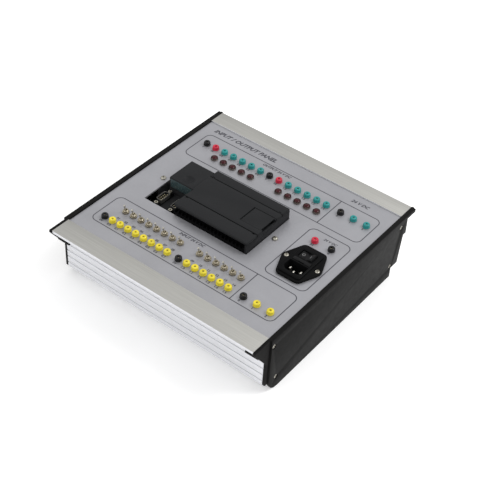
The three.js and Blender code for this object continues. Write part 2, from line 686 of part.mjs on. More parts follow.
function buildInlet(parent) {
  piece('inlet_body', inletBody(), 'inletBlack', parent);

  const rocker = piece('inlet_rocker', crossProfile(rockerOutline(), [-5.9, 5.9]), 'rockerBlack', parent);
  rocker.position.set(0, ROCKER_Y, ROCKER_PIVOT);
  rocker.rotation.y = -THREE.MathUtils.degToRad(ROCKER_TILT);

  const drawerBody = block([-11.4, 11.4], [-2.6, 2.6], [-16.4, DOME + 0.4]);
  const cradle = block([-10.3, 10.3], [-3, 1.9], [-11.8, -6.4]);
  const lip = block([-4, 4], [-3, -1.8], [DOME - 1.2, DOME + 1]);
  const drawer = piece('fuse_drawer', cut(drawerBody, cradle, lip), 'rockerBlack', parent);
  drawer.position.set(0, FUSE_Y, 0);

  const fuse = piece('fuse', bar([-9.9, 9.9], 0, 0, 2.2, 10), 'fuseGlass', parent);
  fuse.position.set(0, FUSE_Y - 0.6, -9.1);

  PINS.forEach(([x, y], i) => {
    const blade = block([-1, 1], [-2, 2], [-30, 0.9]);
    const pin = piece(PIN_NAMES[i], blade, 'brassPlate', parent);
    pin.position.set(x, y, 0);
  });

  INLET_SCREWS.forEach(([x, y], i) => {
    const head = post(0, 0, [1.8, 3.9], 3, 10, 2.7);
    const shank = post(0, 0, [-7, 2.2], SCREW_SHANK, 6);
    const slot = join(block([-2, 2], [-0.4, 0.4], [3, 5]), block([-0.4, 0.4], [-2, 2], [3, 5]));
    const screw = piece(`inlet_screw_${i + 1}`, cut(join(head, shank), slot), 'screwSteel', parent);
    screw.position.set(x, y, 0);
  });
}

function buildPowerSupply(parent) {
  const body = block([-30, 30], [-48, 48], [0, 24]);
  const terminals = block([-26, 26], [-49, -40], [12, 25]);
  const supply = piece('power_supply', cut(body, terminals), 'sheetSteel', parent);
  supply.position.set(98, -20, BASE_PLATE_UNDER + BASE_PLATE_SHEET + CLEARANCE);
}

// ---------------------------------------------------------------- assembly

const trainer = new THREE.Group();
const controller = new THREE.Group();
const inlet = new THREE.Group();
const panelLevel = new THREE.Group();

controller.position.set(CONTROLLER_X, CONTROLLER_Y, CONTROLLER_Z);
inlet.position.set(INLET_X, INLET_Y, PANEL_TOP);
panelLevel.position.set(0, 0, PANEL_TOP);
trainer.add(controller, inlet, panelLevel);

buildRails(trainer);
buildBasePlate(trainer);
buildEndCovers(trainer);
buildPanel(trainer);
buildPanelScrews(trainer);
buildBoards(panelLevel);
buildMounting(controller);
buildController(controller);
buildInlet(inlet);
buildPowerSupply(trainer);

export default trainer;
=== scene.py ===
import json
import math

import bmesh
import bpy
from mathutils import Matrix, Vector

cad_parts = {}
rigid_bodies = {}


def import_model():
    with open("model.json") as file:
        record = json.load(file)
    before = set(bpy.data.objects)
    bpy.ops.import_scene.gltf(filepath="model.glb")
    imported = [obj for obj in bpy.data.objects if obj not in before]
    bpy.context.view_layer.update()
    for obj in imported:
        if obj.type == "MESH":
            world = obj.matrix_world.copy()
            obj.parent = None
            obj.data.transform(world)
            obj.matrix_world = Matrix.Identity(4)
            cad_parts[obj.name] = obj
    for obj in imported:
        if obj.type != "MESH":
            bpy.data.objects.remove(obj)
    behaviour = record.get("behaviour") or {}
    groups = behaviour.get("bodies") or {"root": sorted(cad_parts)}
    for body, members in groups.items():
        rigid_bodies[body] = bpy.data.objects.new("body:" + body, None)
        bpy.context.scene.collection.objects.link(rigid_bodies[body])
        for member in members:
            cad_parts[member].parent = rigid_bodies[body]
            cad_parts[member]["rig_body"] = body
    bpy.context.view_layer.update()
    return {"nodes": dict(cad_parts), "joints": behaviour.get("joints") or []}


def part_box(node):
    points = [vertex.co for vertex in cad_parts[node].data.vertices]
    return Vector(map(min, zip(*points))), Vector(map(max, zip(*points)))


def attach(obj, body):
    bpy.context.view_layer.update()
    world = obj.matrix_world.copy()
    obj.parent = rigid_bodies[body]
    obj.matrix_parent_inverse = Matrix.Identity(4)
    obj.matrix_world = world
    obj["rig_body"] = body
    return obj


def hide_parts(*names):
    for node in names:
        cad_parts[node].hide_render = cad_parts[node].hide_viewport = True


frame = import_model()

bl_info = {
    "name": "Training console builder",
    "version": (1, 0, 0),
    "blender": (4, 5, 0),
    "location": "3D View > Sidebar > Console",
    "description": "Builds the finished look of a desk-top training console around its solids",
    "category": "Object",
}

MM = 0.001
STATIC = "console"


# ------------------------------------------------------------------ places

def low(node):
    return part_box(node)[0]


def high(node):
    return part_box(node)[1]


PANEL_Z = high("front_panel").z
OUTPUT_Y = 0.0879
INPUT_Y = -0.0946
LAMP_Y = 0.0713
OUTPUT_PITCH = 0.01374
INPUT_PITCH = 0.01156
INPUT_FIRST = -0.1143
SECOND_FIRST = INPUT_FIRST + 10 * INPUT_PITCH - 0.007
OUTPUTS = [-0.1146 + i * OUTPUT_PITCH for i in range(14)]
FIRST_INPUTS = [INPUT_FIRST + i * INPUT_PITCH for i in range(9)]
SECOND_INPUTS = [SECOND_FIRST + i * INPUT_PITCH for i in range(7)]
ANALOGS = [0.0841 + i * 0.0178 for i in range(3)]
POWER = [(0.0901, 0.028), (0.1127, 0.028)]
LAMPS = [x - 0.0025 for x in OUTPUTS[2:7] + OUTPUTS[9:]]
TOGGLES = [
    joint["pos_m"] for joint in frame["joints"]
    if joint["name"].startswith("toggle_")
]


# ------------------------------------------------------------------ settings

def length(name, text, default):
    return bpy.props.FloatProperty(name=name, description=text, default=default, unit="LENGTH")


def colour(name, text, default):
    return bpy.props.FloatVectorProperty(
        name=name, description=text, default=default, size=3, min=0.0, max=1.0, subtype="COLOR")


class ConsoleSizes(bpy.types.PropertyGroup):
    socket_radius: length("Socket radius", "Widest radius of a socket's collar", 4.35 * MM)
    socket_rise: length("Socket rise", "Height of a socket above the panel", 5.0 * MM)
    socket_bore: length("Socket bore", "Radius of a socket's contact bore", 1.2 * MM)
    lamp_radius: length("Lamp radius", "Radius of a lamp's bezel", 4.5 * MM)
    print_line: length("Printed line", "Width of the printed outlines", 1.1 * MM)
    print_corner: length("Printed corner", "Corner radius of the printed outlines", 8.0 * MM)
    numeral_height: length("Numeral height", "Height of the printed numerals", 3.7 * MM)


class ConsoleColours(bpy.types.PropertyGroup):
    panel: colour("Panel", "Paint of the top panel", (0.325, 0.325, 0.345))
    rail: colour("Rails", "Anodised rails", (0.46, 0.455, 0.43))
    cover: colour("Covers", "Moulded end covers", (0.0068, 0.0066, 0.0064))
    controller: colour("Controller", "Moulded controller case", (0.0165, 0.017, 0.0182))
    yellow: colour("Yellow sockets", "Input sockets", (0.70, 0.58, 0.03))
    teal: colour("Teal sockets", "Output sockets", (0.015, 0.24, 0.235))
    red: colour("Red sockets", "Supply sockets", (0.50, 0.012, 0.04))
    black: colour("Black sockets", "Common sockets", (0.012, 0.012, 0.013))
    lamp: colour("Lamps", "Lamp lenses", (0.032, 0.0015, 0.003))
    ink: colour("Ink", "Printed outlines and numerals", (0.045, 0.045, 0.055))


def sizes():
    return bpy.context.scene.console_sizes


def colours():
    return bpy.context.scene.console_colours


# ------------------------------------------------------------------ shaping

def outwards(bm):
    bmesh.ops.remove_doubles(bm, verts=bm.verts, dist=1e-6)
    bmesh.ops.recalc_face_normals(bm, faces=bm.faces)
    return bm


def turned(outline, segments=24, centre=(0, 0, 0)):
    """A profile of (radius, height) in millimetres, spun about an upright axis."""
    bm = bmesh.new()
    corners = [bm.verts.new((r * MM, 0, z * MM)) for r, z in outline]
    edges = [bm.edges.new(pair) for pair in zip(corners, corners[1:])]
    bmesh.ops.spin(
        bm, geom=corners + edges, cent=(0, 0, 0), axis=(0, 0, 1),
        angle=math.tau, steps=segments, use_merge=True)
    outwards(bm)
    bmesh.ops.translate(bm, verts=bm.verts, vec=centre)
    return bm


def prism(outline, bottom, top):
    """A flat outline in millimetres, pulled up from bottom to top."""
    bm = bmesh.new()
    face = bm.faces.new([bm.verts.new((x * MM, y * MM, bottom * MM)) for x, y in outline])
    pulled = bmesh.ops.extrude_face_region(bm, geom=[face])
    raised = [v for v in pulled["geom"] if isinstance(v, bmesh.types.BMVert)]
    bmesh.ops.translate(bm, verts=raised, vec=(0, 0, (top - bottom) * MM))
    return outwards(bm)


def corners_around(radius, count, first=0):
    """Corners of a regular outline, the first one at an angle in degrees."""
    angles = [math.radians(first) + math.tau * i / count for i in range(count)]
    return [(radius * math.cos(angle), radius * math.sin(angle)) for angle in angles]


def block(lowest, highest):
    """A box between two corners in millimetres."""
    bm = bmesh.new()
    lowest, highest = Vector(lowest) * MM, Vector(highest) * MM
    size = highest - lowest
    matrix = Matrix.Translation((lowest + highest) / 2) @ Matrix.Diagonal((*size, 1))
    bmesh.ops.create_cube(bm, size=1, matrix=matrix)
    return bm


def ease(bm, width, segments=2, sharper_than=28):
    """Rounds the edges that turn by more than the given angle."""
    limit = math.radians(sharper_than)
    sharp = [e for e in bm.edges if len(e.link_faces) == 2 and e.calc_face_angle(0) > limit]
    bmesh.ops.bevel(
        bm, geom=sharp, offset=width, offset_type="OFFSET", segments=segments,
        profile=0.5, affect="EDGES", material=-1, clamp_overlap=True)
    return bm


def copied(node):
    """A merged copy of a solid's mesh, with its flat faces made whole."""
    bm = bmesh.new()
    bm.from_mesh(frame["nodes"][node].data)
    bmesh.ops.remove_doubles(bm, verts=bm.verts, dist=2e-6)
    bmesh.ops.dissolve_limit(
        bm, angle_limit=math.radians(1.0), verts=bm.verts, edges=bm.edges, delimit=set())
    return bm


def moved(bm, offset):
    bmesh.ops.translate(bm, verts=bm.verts, vec=offset)
    return bm


def turned_about(bm, centre, angle, axis):
    bmesh.ops.rotate(bm, verts=bm.verts, cent=centre, matrix=Matrix.Rotation(angle, 3, axis))
    return bm


def gathered(parts):
    """Several shapes as one mesh."""
    whole = bmesh.new()
    for part in parts:
        mesh = bpy.data.meshes.new("part")
        part.to_mesh(mesh)
        part.free()
        whole.from_mesh(mesh)
        bpy.data.meshes.remove(mesh)
    return whole


def piece(name, bm, material, body=STATIC, stands_for=(), smooth_below=32):
    """Turns a shape into a finished piece that rides on its body."""
    limit = math.radians(smooth_below)
    for face in bm.faces:
        face.smooth = True
    for edge in bm.edges:
        edge.smooth = edge.calc_face_angle(math.pi) < limit
    mesh = bpy.data.meshes.new(name)
    bm.to_mesh(mesh)
    bm.free()
    obj = bpy.data.objects.new(name, mesh)
    bpy.context.scene.collection.objects.link(obj)
    mesh.materials.append(material)
    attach(obj, body)
    if stands_for:
        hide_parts(*stands_for)
    return obj


def body_of(node):
    return frame["nodes"][node]["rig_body"]


def eased_copy(node, name, material, width, segments=2):
    bm = ease(copied(node), width, segments)
    return piece(name, bm, material, body_of(node), [node])


def dress(node, material):
    """Gives a solid that stays its finish."""
    mesh = frame["nodes"][node].data
    mesh.materials.clear()
    mesh.materials.append(material)


# ------------------------------------------------------------------ finishes

class Finish:
    """One material and the nodes that its makers share."""

    def __init__(self, name):
        self.material = bpy.data.materials.new(name)
        self.material.use_nodes = True
        self.nodes = self.material.node_tree.nodes
        self.links = self.material.node_tree.links
        self.shader = self.nodes["Principled BSDF"]
        self.place = self.nodes.new("ShaderNodeTexCoord").outputs["Object"]

    def set(self, **values):
        for socket, value in values.items():
            self.shader.inputs[socket.replace("_", " ")].default_value = value
        return self

    def noise(self, scale, detail=3.0, stretch=(1, 1, 1), roughness=0.5):
        mapping = self.nodes.new("ShaderNodeMapping")
        mapping.inputs["Scale"].default_value = stretch
        self.links.new(self.place, mapping.inputs["Vector"])
        noise = self.nodes.new("ShaderNodeTexNoise")
        noise.inputs["Scale"].default_value = scale
        noise.inputs["Detail"].default_value = detail
        noise.inputs["Roughness"].default_value = roughness
        self.links.new(mapping.outputs["Vector"], noise.inputs["Vector"])
        return noise.outputs["Fac"]

    def cells(self, scale, feature="F1"):
        cells = self.nodes.new("ShaderNodeTexVoronoi")
        cells.feature = feature
        cells.inputs["Scale"].default_value = scale
        self.links.new(self.place, cells.inputs["Vector"])
        return cells.outputs["Distance"]

    def spread(self, value, start, end, lowest=0.3, highest=0.7):
        """Maps a pattern to a range."""
        ranged = self.nodes.new("ShaderNodeMapRange")
        ranged.inputs["From Min"].default_value = lowest
        ranged.inputs["From Max"].default_value = highest
        ranged.inputs["To Min"].default_value = start
        ranged.inputs["To Max"].default_value = end
        self.links.new(value, ranged.inputs["Value"])
        return ranged.outputs["Result"]

    def tint(self, value, first, second, lowest=0.35, highest=0.65):
        """Colours a pattern between two colours."""
        ramp = self.nodes.new("ShaderNodeValToRGB")
        ramp.color_ramp.elements[0].position = lowest
        ramp.color_ramp.elements[1].position = highest
        ramp.color_ramp.elements[0].color = (*first, 1)
        ramp.color_ramp.elements[1].color = (*second, 1)
        self.links.new(value, ramp.inputs["Fac"])
        self.links.new(ramp.outputs["Color"], self.shader.inputs["Base Color"])
        return self

    def rough(self, value):
        self.links.new(value, self.shader.inputs["Roughness"])
        return self

    def bump(self, value, strength, distance):
        bump = self.nodes.new("ShaderNodeBump")
        bump.inputs["Strength"].default_value = strength
        bump.inputs["Distance"].default_value = distance
        self.links.new(value, bump.inputs["Height"])
        self.links.new(bump.outputs["Normal"], self.shader.inputs["Normal"])
        return self


def shade(tone, share):
    return tuple(min(1.0, c * share) for c in tone)


def moulded(name, tone, roughness, grain=2600, depth=0.00005, mottle=0.06, specular=0.16):
    """Moulded plastic with a fine spark-eroded grain and faint flow marks."""
    finish = Finish(name).set(Specular_IOR_Level=specular)
    finish.tint(finish.noise(45, 5), shade(tone, 1 - mottle), shade(tone, 1 + mottle))
    finish.rough(finish.spread(finish.noise(180, 4), roughness - 0.03, roughness + 0.04))
    finish.bump(finish.noise(grain, 2), 0.35, depth)
    return finish.material


def glossy(name, tone, roughness=0.28, specular=0.4):
    """Smooth injection-moulded plastic with handling marks in its gloss."""
    finish = Finish(name).set(Specular_IOR_Level=specular)
    finish.tint(finish.noise(160, 4), shade(tone, 0.86), shade(tone, 1.1))
    finish.rough(finish.spread(finish.noise(420, 5), roughness - 0.08, roughness + 0.14))
    finish.bump(finish.noise(900, 2), 0.12, 0.00004)
    return finish.material


def drawn(name, tone, roughness, stretch, metallic=1.0, scale=900, depth=0.00003, contrast=0.07):
    """Metal with fine lines along the way it was drawn or brushed."""
    finish = Finish(name).set(Metallic=metallic)
    lines = finish.noise(scale, 4, stretch, 0.7)
    finish.tint(lines, shade(tone, 1 - contrast), shade(tone, 1 + contrast))
    finish.rough(finish.spread(finish.noise(scale * 0.6, 3, stretch), roughness - 0.07, roughness + 0.1))
    finish.bump(lines, 0.3, depth)
    return finish.material


def plated(name, tone, roughness=0.16):
    """Bright plating with a slight haze and tiny handling scratches."""
    finish = Finish(name).set(Metallic=1.0)
    finish.tint(finish.noise(300, 5), shade(tone, 0.88), shade(tone, 1.05))
    finish.rough(finish.spread(finish.noise(700, 5), roughness - 0.06, roughness + 0.14))
    finish.bump(finish.noise(1500, 2, (1, 1, 6)), 0.12, 0.00003)
    return finish.material


def painted(name, tone):
    """Satin paint with a very fine orange peel."""
    finish = Finish(name).set(Metallic=0.45, Specular_IOR_Level=0.4)
    finish.tint(finish.noise(30, 6), shade(tone, 0.965), shade(tone, 1.03))
    finish.rough(finish.spread(finish.noise(260, 4), 0.40, 0.52))
    finish.bump(finish.noise(1900, 3), 0.22, 0.00005)
    return finish.material


def printed(name, tone):
    """Screen-printed ink, with the slightly uneven edge gloss of ink on paint."""
    finish = Finish(name)
    finish.tint(finish.noise(1400, 4), shade(tone, 0.8), shade(tone, 1.25))
    finish.rough(finish.spread(finish.noise(600, 3), 0.45, 0.62))
    finish.bump(finish.noise(2400, 2), 0.15, 0.00002)
    return finish.material


def lens(name, tone):
    """Dark tinted lens with moulded facets under a clear gloss."""
    finish = Finish(name).set(Coat_Weight=0.12, Coat_Roughness=0.06, Specular_IOR_Level=0.2)
    finish.tint(finish.cells(900), shade(tone, 0.7), shade(tone, 1.6), 0.2, 0.8)
    finish.rough(finish.spread(finish.noise(500, 3), 0.12, 0.26))
    finish.bump(finish.cells(1300), 0.25, 0.00012)
    return finish.material


def laminate(name, tone):
    """Circuit board: glass weave under green resist."""
    finish = Finish(name).set(Coat_Weight=0.3)
    weave = finish.cells(1200)
    finish.tint(weave, shade(tone, 0.75), shade(tone, 1.25), 0.1, 0.8)
    finish.rough(finish.spread(finish.noise(300, 3), 0.3, 0.5))
    finish.bump(weave, 0.2, 0.00004)
    return finish.material


def clear_glass(name):
    finish = Finish(name).set(Transmission_Weight=0.85, IOR=1.48)
    finish.tint(finish.noise(400, 3), (0.80, 0.86, 0.85), (0.93, 0.96, 0.96))
    finish.rough(finish.spread(finish.noise(800, 3), 0.03, 0.09))
    return finish.material


def studio_floor(name):
    finish = Finish(name)
    finish.tint(finish.noise(6, 4), (0.90, 0.90, 0.90), (0.93, 0.93, 0.93))
    finish.rough(finish.spread(finish.noise(20, 3), 0.7, 0.8))
    return finish.set(Emission_Color=(1, 1, 1, 1), Emission_Strength=0.22).material


MAKERS = {
    "panel paint": lambda c: painted("panel paint", c.panel),
    "rail top": lambda c: drawn("rail top", shade(c.rail, 0.92), 0.5, (0.015, 1, 1), 0.7),
    # Painted reflection: the walls, nose and underside are the same aluminium as the top, given a
    # lighter, bluer tone to stand in for the bright floor reflected in them
    "rail wall painted reflection": lambda c: drawn(
        "rail wall painted reflection", (0.68, 0.685, 0.71), 0.42, (0.015, 1, 1), 0.6, contrast=0.035),
    "sheet steel": lambda c: drawn("sheet steel", (0.50, 0.51, 0.53), 0.38, (0.05, 1, 1)),
    "cover plastic": lambda c: moulded("cover plastic", c.cover, 0.56, mottle=0.03, specular=0.07),
    "controller plastic": lambda c: moulded(
        "controller plastic", c.controller, 0.52, mottle=0.03, specular=0.1),
    "terminal plastic": lambda c: moulded(
        "terminal plastic", (0.0025, 0.0025, 0.003), 0.55, specular=0.05),
    "bright screw": lambda c: plated("bright screw", (0.46, 0.44, 0.38), 0.22),
    "lever chrome": lambda c: plated("lever chrome", (0.52, 0.50, 0.45), 0.14),
    "nut plating": lambda c: plated("nut plating", (0.36, 0.32, 0.24), 0.26),
    "contact metal": lambda c: plated("contact metal", (0.60, 0.52, 0.32), 0.3),
    "lamp bezel": lambda c: plated("lamp bezel", (0.16, 0.135, 0.12), 0.13),
    # Painted shade: the shell's dull grey metal is darkened further to stand in for the shade of the port
    # recess
    "connector shell painted shade": lambda c: drawn("connector shell painted shade", (0.20, 0.195, 0.18), 0.5, (1, 0.2, 1)),
    "pin metal": lambda c: plated("pin metal", (0.55, 0.53, 0.48), 0.3),
    "yellow socket": lambda c: glossy("yellow socket", c.yellow),
    "teal socket": lambda c: glossy("teal socket", c.teal),
    "red socket": lambda c: glossy("red socket", c.red),
    "black socket": lambda c: glossy("black socket", shade(c.black, 0.5), 0.24, 0.25),
    "lamp lens": lambda c: lens("lamp lens", c.lamp),
    "board laminate": lambda c: laminate("board laminate", (0.02, 0.12, 0.06)),
    "inlet plastic": lambda c: moulded(
        "inlet plastic", (0.0035, 0.0035, 0.0038), 0.45, 2000, specular=0.05),
    "smoked window": lambda c: glossy("smoked window", (0.035, 0.055, 0.058), 0.2),
    "rocker plastic": lambda c: glossy("rocker plastic", (0.005, 0.005, 0.0055), 0.34, 0.12),
    "fuse glass": lambda c: clear_glass("fuse glass"),
    "white plastic": lambda c: moulded("white plastic", (0.62, 0.60, 0.52), 0.45),
    "panel ink": lambda c: printed("panel ink", c.ink),
    "white ink": lambda c: printed("white ink", (0.22, 0.22, 0.22)),
    "studio floor": lambda c: studio_floor("studio floor"),
}


def finish(name):
    """The named material, made the first time it is asked for."""
    return bpy.data.materials.get(name) or MAKERS[name](colours())


# ------------------------------------------------------------------ case

RAILS = {"front_rail": "front_rail_extrusion", "rear_rail": "rear_rail_extrusion"}
COVERS = {"left_end_cover": "left_cover_moulding", "right_end_cover": "right_cover_moulding"}


def build_rails():
    for node, name in RAILS.items():
        bm = ease(copied(node), 0.22 * MM, 2)
        obj = piece(name, bm, finish("rail top"), STATIC, [node])
        obj.data.materials.append(finish("rail wall painted reflection"))
        top = high(node).z - 5 * MM
        middle = (low(node).y + high(node).y) / 2
        nose = low(node).y if middle < 0 else high(node).y
        # Walls, nose and underside take the lighter wall tone, a painted reflection of the bright floor
        # on the same aluminium
        for face in obj.data.polygons:
            upright = abs(face.normal.y) > 0.35
            if face.center.z < top or upright or abs(face.center.y - nose) < 1.2 * MM:
                face.material_index = 1


def build_covers():
    for node, name in COVERS.items():
        bm = ease(copied(node), 0.35 * MM, 2)
        piece(name, bm, finish("cover plastic"), STATIC, [node])


def recess(radius, rise):
    """The dark cross of a driver recess, sunk a little into a head."""
    arm, width = radius * 0.62, radius * 0.13
    across = block((-arm, -width, rise * 0.5), (arm, width, rise * 0.98))
    along = block((-width, -arm, rise * 0.5), (width, arm, rise * 0.98))
    return gathered([across, along])


def build_cover_screws():
    for side in ("left", "right"):
        outward = 1 if side == "right" else -1
        for place in ("front_top", "front_bottom", "rear_top", "rear_bottom"):
            node = f"{side}_cover_screw_{place}"
            first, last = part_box(node)
            centre = (first + last) / 2
            seat = (last.x if outward > 0 else first.x) - outward * 2.1 * MM
            head = cross_head(2.9, 2.0)
            shank = turned([(0, -14), (0.8, -14), (1.1, -13.2), (1.1, 0)], 12)
            bm = gathered([head, shank])
            turned_about(bm, (0, 0, 0), outward * math.pi / 2, "Y")
            moved(bm, (seat, centre.y, centre.z))
            name = f"{side}_screw_{place}_pan_head"
            piece(name, bm, finish("bright screw"), STATIC, [node])


def cross_head(radius, rise):
    """Pan head with a real cross recess cut down into it."""
    ring = 32
    bm = bmesh.new()
    bmesh.ops.create_circle(bm, cap_ends=True, radius=radius * MM, segments=ring)
    face = next(iter(bm.faces))
    steps = [
        (0.0, rise * 0.4), (radius * 0.07, rise * 0.25),
        (radius * 0.13, rise * 0.2), (radius * 0.2, rise * 0.15),
    ]
    for inward, up in steps:
        pulled = bmesh.ops.extrude_face_region(bm, geom=[face])
        verts = [v for v in pulled["geom"] if isinstance(v, bmesh.types.BMVert)]
        face = next(f for f in pulled["geom"] if isinstance(f, bmesh.types.BMFace))
        bmesh.ops.translate(bm, verts=verts, vec=(0, 0, up * MM))
        middle = face.calc_center_median()
        now = (verts[0].co - middle).length
        share = (now - inward * MM) / now
        bmesh.ops.scale(bm, verts=verts, vec=(share, share, 1), space=Matrix.Translation(-middle))
    return cut_with(outwards(bm), recess(radius, rise * 1.15))


def cut_with(bm, tool):
    """Cuts one shape out of another."""
    scratch = []
    for shape, word in ((bm, "whole"), (tool, "tool")):
        mesh = bpy.data.meshes.new(word)
        shape.to_mesh(mesh)
        shape.free()
        obj = bpy.data.objects.new(word, mesh)
        bpy.context.scene.collection.objects.link(obj)
        scratch.append(obj)
    whole, cutter = scratch
    boolean = whole.modifiers.new("cut", "BOOLEAN")
    boolean.operation = "DIFFERENCE"
    boolean.solver = "EXACT"
    boolean.use_self = True
    boolean.object = cutter
    bpy.context.view_layer.update()
    result = whole.evaluated_get(bpy.context.evaluated_depsgraph_get()).to_mesh()
    out = bmesh.new()
    out.from_mesh(result)
    for obj in scratch:
        mesh = obj.data
        bpy.data.objects.remove(obj)
        bpy.data.meshes.remove(mesh)
    return out


# ------------------------------------------------------------------ panel print

def rounded(x0, y0, x1, y1, radius, steps=6):
    """A rectangle with round corners, as a list of points."""
    corners = [(x1 - radius, y0 + radius, -90), (x1 - radius, y1 - radius, 0),
               (x0 + radius, y1 - radius, 90), (x0 + radius, y0 + radius, 180)]
    points = []
    for cx, cy, start in corners:
        for step in range(steps + 1):
            angle = math.radians(start + 90 * step / steps)
            points.append((cx + radius * math.cos(angle), cy + radius * math.sin(angle)))
    return points


def outline_print(x0, y0, x1, y1):
    """One printed outline, a thin raised ring of ink."""
    line = sizes().print_line
    bm = bmesh.new()
    radius = sizes().print_corner / MM
    face = bm.faces.new([bm.verts.new((x * MM, y * MM, 0)) for x, y in rounded(x0, y0, x1, y1, radius)])
    bm.normal_update()
    bmesh.ops.inset_individual(bm, faces=[face], thickness=line, use_even_offset=True)
    bmesh.ops.delete(bm, geom=[face], context="FACES_ONLY")
    pulled = bmesh.ops.extrude_face_region(bm, geom=list(bm.faces))
    raised = [v for v in pulled["geom"] if isinstance(v, bmesh.types.BMVert)]
    bmesh.ops.translate(bm, verts=raised, vec=(0, 0, 0.05 * MM))
    return outwards(bm)


def numeral(text, x, y, height, lean=0.0):
    """A printed numeral centred on a place, in millimetres."""
    curve = bpy.data.curves.new("numeral", "FONT")
    curve.body = text
    curve.size = height * 1.35 * MM
    curve.align_x = "CENTER"
    curve.align_y = "CENTER"
    curve.resolution_u = 2
    curve.extrude = 0.025 * MM
    curve.offset = 0.05 * height * MM
    curve.shear = lean
    obj = bpy.data.objects.new("numeral", curve)
    bpy.context.scene.collection.objects.link(obj)
    bpy.context.view_layer.update()
    mesh = bpy.data.meshes.new_from_object(obj.evaluated_get(bpy.context.evaluated_depsgraph_get()))
    bm = bmesh.new()
    bm.from_mesh(mesh)
    bpy.data.objects.remove(obj)
    bpy.data.curves.remove(curve)
    bpy.data.meshes.remove(mesh)
    return moved(bm, (x * MM, y * MM, 0.025 * MM))


def build_print():
    line = sizes().print_line / MM / 2
    rings = [outline_print(-127, 56.5, 129, 107.8), outline_print(73, -47.5, 129, 47.5),
             outline_print(-127.5, -106.1, 129.5, -54.9)]
    dividers = [block((72.5 - line, 57, 0), (72.5 + line, 107.3, 0.05)),
                block((73.7 - line, -105.6, 0), (73.7 + line, -55.4, 0.05))]
    shapes = [moved(bm, (0, 0, PANEL_Z + 0.02 * MM)) for bm in rings + dividers]
    piece("panel_outlines", gathered(shapes), finish("panel ink"))

    height = sizes().numeral_height / MM
    marks = []
    front = INPUT_Y / MM - 6.6
    behind = INPUT_Y / MM + 8.4
    for group, start in ((FIRST_INPUTS, 0), (SECOND_INPUTS, 8)):
        for i, x in enumerate(group[1:]):
            marks.append(numeral(f"{start // 8}.{i}", x / MM, front, height * 0.85))
            marks.append(numeral(f"{start + i + 1:02d}", x / MM + 1, behind, height * 0.85))
        marks.append(numeral("0V", group[0] / MM, front, height * 0.85))
    for i, x in enumerate(OUTPUTS[2:7]):
        marks.append(numeral(f"0.{i}", x / MM - 1, OUTPUT_Y / MM - 6.2, height * 0.8))
    for i, x in enumerate(OUTPUTS[9:]):
        marks.append(numeral(f"1.{i}", x / MM - 1, OUTPUT_Y / MM - 6.2, height * 0.8))
    for x in (OUTPUTS[0], OUTPUTS[7], ANALOGS[0]):
        marks.append(numeral("0", x / MM - 1, OUTPUT_Y / MM - 6.2, height * 0.8))
    for x in (OUTPUTS[1], OUTPUTS[8]):
        marks.append(numeral("24", x / MM - 1, OUTPUT_Y / MM - 6.2, height * 0.8))
    for i, x in enumerate(ANALOGS[1:]):
        marks.append(numeral(str(i + 1), x / MM - 1, OUTPUT_Y / MM - 6.4, height * 0.8))
        marks.append(numeral(str(i + 1), x / MM - 1, INPUT_Y / MM - 6.6, height * 0.9))
    marks.append(numeral("0", ANALOGS[0] / MM - 1, INPUT_Y / MM - 6.6, height * 0.9))
    marks.append(numeral("24", POWER[0][0] / MM, POWER[0][1] / MM - 6.4, height * 0.9))
    marks.append(numeral("0", POWER[1][0] / MM, POWER[1][1] / MM - 6.4, height * 0.9))
    marks.append(numeral("OUTPUT 24 V DC", -19, 102.8, height * 1.05, 0.25))
    marks.append(numeral("INPUT 24 V DC", -16, -59.6, height * 1.05, 0.25))
    marks.append(numeral("24 V DC", 104, 38.5, height * 0.95, 0.25))
    marks.append(numeral("INPUT / OUTPUT PANEL", -78, 117, height * 1.75, 0.3))
    marks.append(numeral("24 V DC", 92, 117, height * 1.3, 0.3))
    shapes = [moved(bm, (0, 0, PANEL_Z + 0.02 * MM)) for bm in marks]
    piece("panel_numerals", gathered(shapes), finish("panel ink"))


# ------------------------------------------------------------------ sockets and lamps

def socket_shape(x, y):
    radius = sizes().socket_radius / MM
    rise = sizes().socket_rise / MM
    bore = sizes().socket_bore / MM
    outline = [
        (bore, rise - 4), (bore, rise - 0.6), (bore + 0.3, rise - 0.2), (bore + 0.9, rise),
        (2.6, rise - 0.02), (3.2, rise - 0.14), (3.7, rise - 0.5), (4.0, rise - 1.05),
        (4.12, rise - 1.8), (4.15, 1.3), (radius, 1.1), (radius, 0.35), (radius - 0.15, 0.2), (2.8, 0.2),
        (2.8, -15.5),
    ]
    return turned(outline, 28, (x, y, PANEL_Z))


def contact_shape(x, y):
    rise = sizes().socket_rise / MM
    bore = sizes().socket_bore / MM
    outline = [
        (0, rise - 9), (bore - 0.2, rise - 9), (bore - 0.2, rise - 2.2), (bore - 0.05, rise - 2.1),
        (bore - 0.05, rise - 9.8), (0, rise - 9.8),
    ]
    return turned(outline, 20, (x, y, PANEL_Z))


SOCKET_ROWS = [
    ("output", [(x, OUTPUT_Y) for x in OUTPUTS], "krttttt" + "krttttt"),
    ("analog_output", [(x, OUTPUT_Y) for x in ANALOGS], "ktt"),
    ("input", [(x, INPUT_Y) for x in FIRST_INPUTS + SECOND_INPUTS], "kyyyyyyyy" + "kyyyyyy"),
    ("analog_input", [(x, INPUT_Y) for x in ANALOGS], "kyy"),
    ("supply", POWER, "rk"),
]
SOCKET_FINISH = {"k": "black", "r": "red", "t": "teal", "y": "yellow"}


def build_sockets():
    for row, places, letters in SOCKET_ROWS:
        for i, ((x, y), letter) in enumerate(zip(places, letters)):
            word = SOCKET_FINISH[letter]
            piece(f"{row}_socket_{i + 1}", socket_shape(x, y), finish(f"{word} socket"))
        contacts = gathered([contact_shape(x, y) for x, y in places])
        piece(f"{row}_socket_contacts", contacts, finish("contact metal"))


